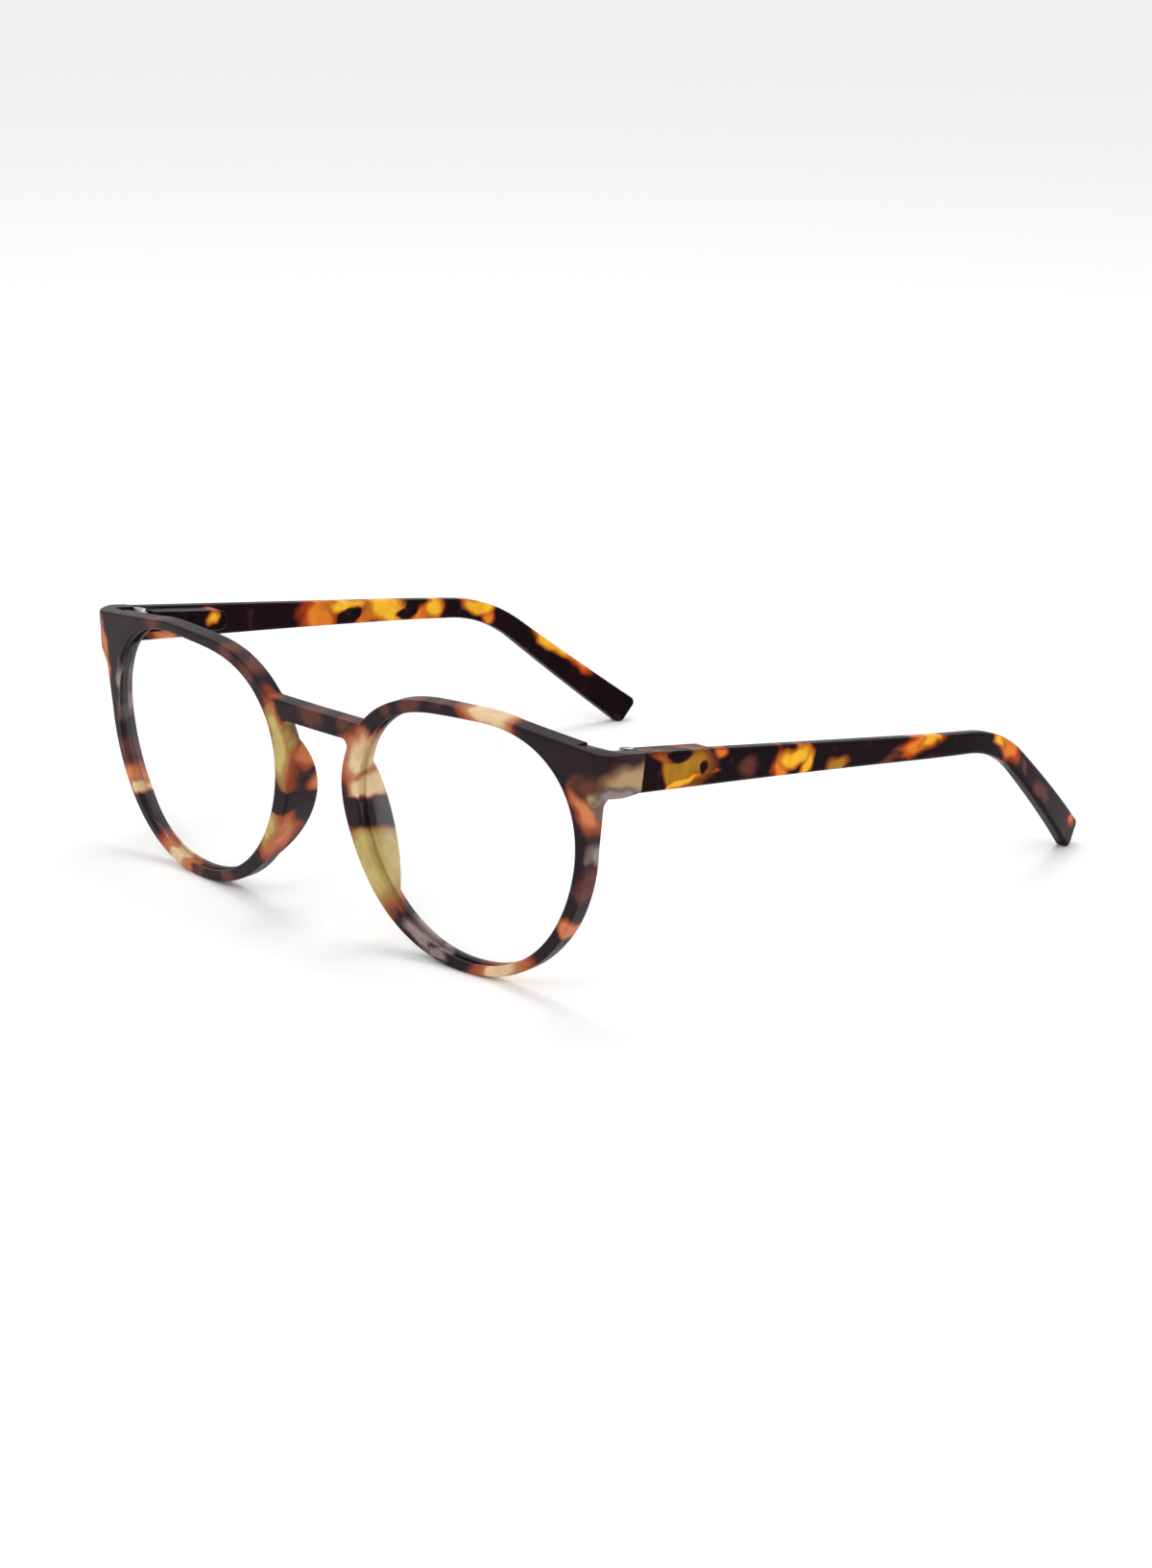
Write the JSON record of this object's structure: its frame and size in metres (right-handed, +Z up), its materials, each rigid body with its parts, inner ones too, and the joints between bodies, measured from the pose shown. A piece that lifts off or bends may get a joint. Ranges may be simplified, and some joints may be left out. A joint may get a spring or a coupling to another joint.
{
  "type": "eyeglasses frame",
  "caption": "Full-rim eyeglasses frame: one-piece front with round lenses, keyhole bridge and built-in nose pads, and two bent temples on spring hinges.",
  "frame": {"origin": "on the surface it stands on, under the middle of the frame", "axes": "+Z up, -Y the way the lenses face, +Y along the temples towards the ears, +X the wearer's left"},
  "size_m": [0.1412, 0.1438, 0.0481],
  "materials": {
    "front_plastic": "satin mottled tortoiseshell",
    "temple_plastic": "satin mottled tortoiseshell",
    "lens": "clear, polished",
    "hinge_metal": "nickel silver, satin",
    "screw_metal": "bright",
    "washer_metal": "bronze",
    "box_metal": "satin",
    "spring_steel": "drawn wire"
  },
  "bodies": {
    "front": {"front": "front_plastic", "left_lens": "lens", "right_lens": "lens", "left_hinge_leaf": "hinge_metal", "right_hinge_leaf": "hinge_metal", "left_hinge_screw": "screw_metal", "right_hinge_screw": "screw_metal"},
    "left_slider": {"left_spring_slider": "hinge_metal", "left_slider_nut": "hinge_metal", "left_hinge_washers": "washer_metal"},
    "left_temple": {"left_temple": "temple_plastic", "left_spring_box": "box_metal", "left_stop_bush": "hinge_metal", "left_hinge_spring": "spring_steel"},
    "right_slider": {"right_spring_slider": "hinge_metal", "right_slider_nut": "hinge_metal", "right_hinge_washers": "washer_metal"},
    "right_temple": {"right_temple": "temple_plastic", "right_spring_box": "box_metal", "right_stop_bush": "hinge_metal", "right_hinge_spring": "spring_steel"}
  },
  "joints": [
    {"name": "left_fold", "type": "hinge", "parent": "front", "child": "left_slider", "pos_m": [0.0645, -0.05944, 0.04232], "axis": [0, 0.141, 0.99], "range_deg": [0, 88]},
    {"name": "left_spring_travel", "type": "slide", "parent": "left_slider", "child": "left_temple", "axis": [0, 0.99, -0.141], "range_m": [0, 0.00095], "stiffness_N_per_m": 4000, "springref_m": -0.001, "deforming": ["left_hinge_spring"]},
    {"name": "right_fold", "type": "hinge", "parent": "front", "child": "right_slider", "pos_m": [-0.0645, -0.05944, 0.04232], "axis": [0, -0.141, -0.99], "range_deg": [0, 73]},
    {"name": "right_spring_travel", "type": "slide", "parent": "right_slider", "child": "right_temple", "axis": [0, 0.99, -0.141], "range_m": [0, 0.00095], "stiffness_N_per_m": 4000, "springref_m": -0.001, "deforming": ["right_hinge_spring"]}
  ]
}
